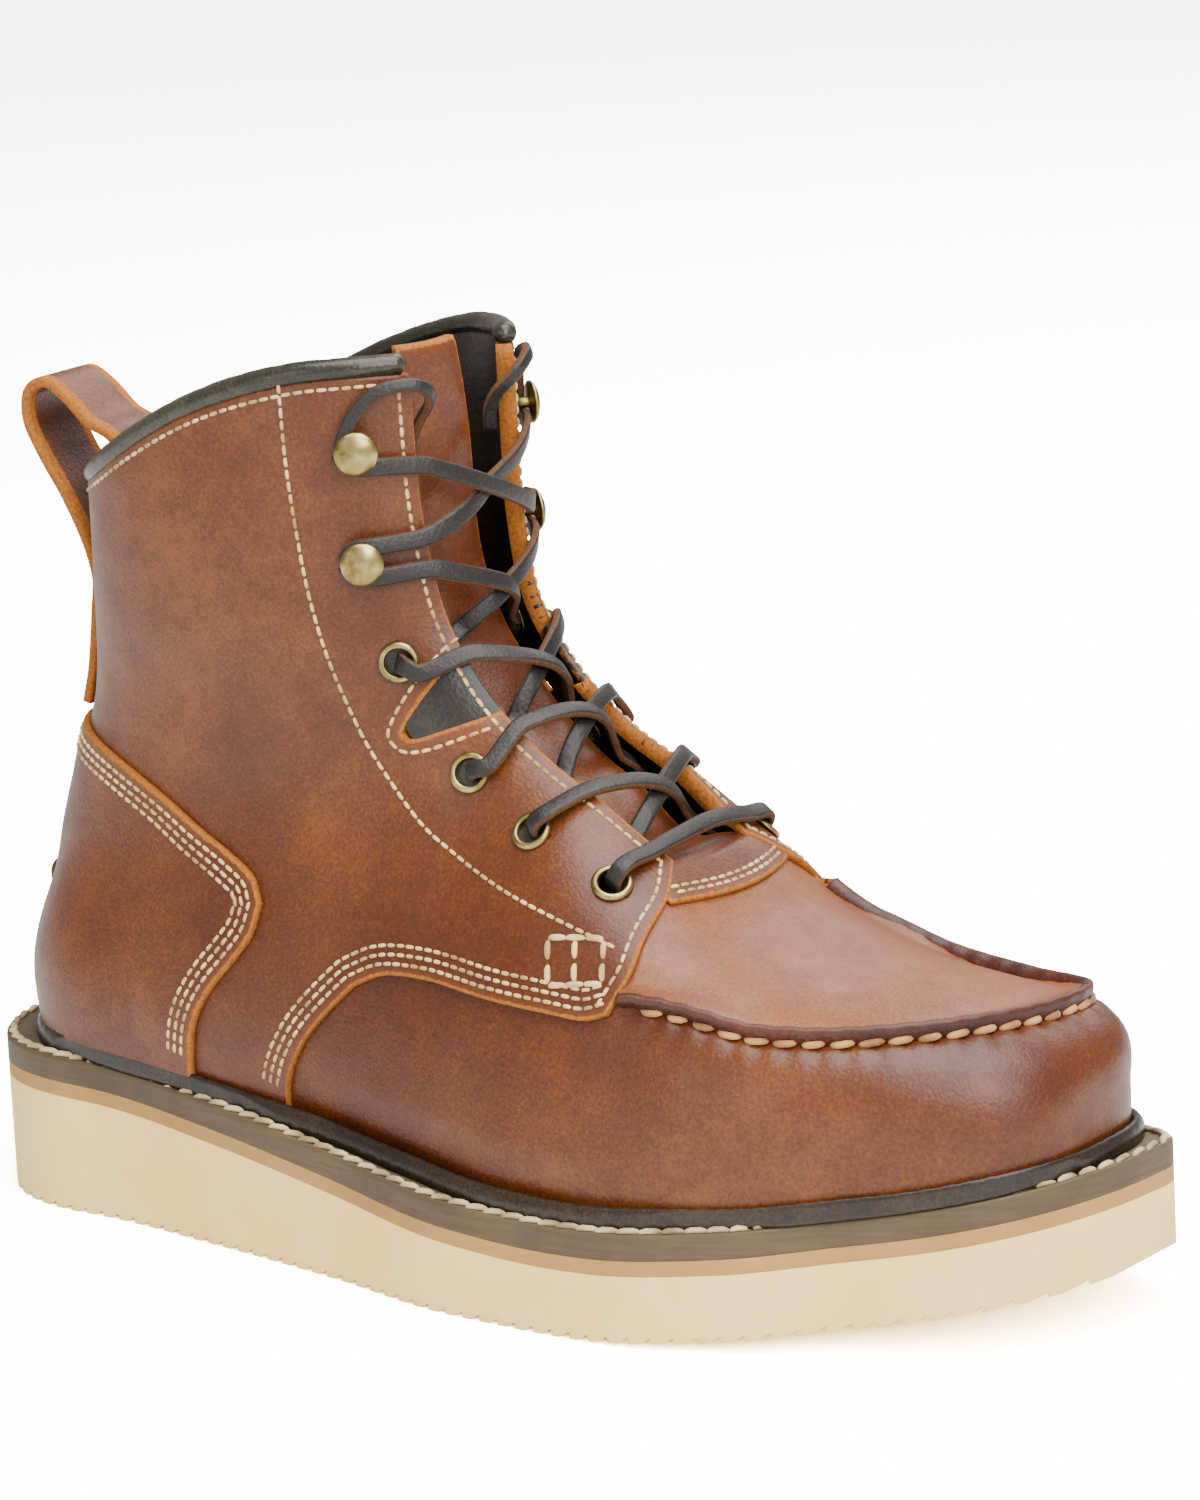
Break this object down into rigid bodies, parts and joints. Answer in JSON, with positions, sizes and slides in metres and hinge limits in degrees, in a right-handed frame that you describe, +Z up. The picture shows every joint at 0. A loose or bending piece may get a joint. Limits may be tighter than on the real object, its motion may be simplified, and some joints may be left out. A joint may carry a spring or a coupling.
{
  "type": "moc toe work boot",
  "caption": "Right-foot lace-up work boot: hollow brown leather upper with a raised moc toe seam, tongue, eyelets and speed hooks, on a flat pale wedge sole.",
  "frame": {"origin": "on the floor, under the centre of the boot's bounding box", "axes": "+X towards the toe, +Y towards the inner (big toe) side, +Z up"},
  "size_m": [0.306, 0.1136, 0.2139],
  "materials": {
    "brown_leather": "oiled pull-up leather, satin",
    "black_leather": "waxed dark leather, satin",
    "insole_leather": "plain undyed leather",
    "crepe_rubber": "pale matt crepe",
    "tan_rubber": "matt",
    "grey_rubber": "matt, ground edge",
    "antique_brass": "antiqued, satin",
    "lace_leather": "dark rawhide, satin"
  },
  "bodies": {
    "root": {"outsole": "crepe_rubber", "midsole_strip": "tan_rubber", "midsole": "grey_rubber", "insole": "insole_leather", "storm_welt": "black_leather", "upper": "brown_leather", "counter": "brown_leather", "kick_lug": "brown_leather", "tongue": "brown_leather", "pull_loop": "brown_leather", "collar_binding": "black_leather", "gusset_outer": "black_leather", "gusset_inner": "black_leather", "eyelet_outer_1": "antique_brass", "eyelet_outer_2": "antique_brass", "eyelet_outer_3": "antique_brass", "eyelet_outer_4": "antique_brass", "eyelet_inner_1": "antique_brass", "eyelet_inner_2": "antique_brass", "eyelet_inner_3": "antique_brass", "eyelet_inner_4": "antique_brass", "hook_outer_1": "antique_brass", "hook_outer_2": "antique_brass", "hook_inner_1": "antique_brass", "hook_inner_2": "antique_brass", "lace_bottom_bar": "lace_leather", "lace_crossing_1": "lace_leather", "lace_crossing_2": "lace_leather", "lace_crossing_3": "lace_leather", "lace_crossing_4": "lace_leather", "lace_crossing_5": "lace_leather", "lace_end_outer": "lace_leather", "lace_end_inner": "lace_leather"}
  },
  "joints": []
}
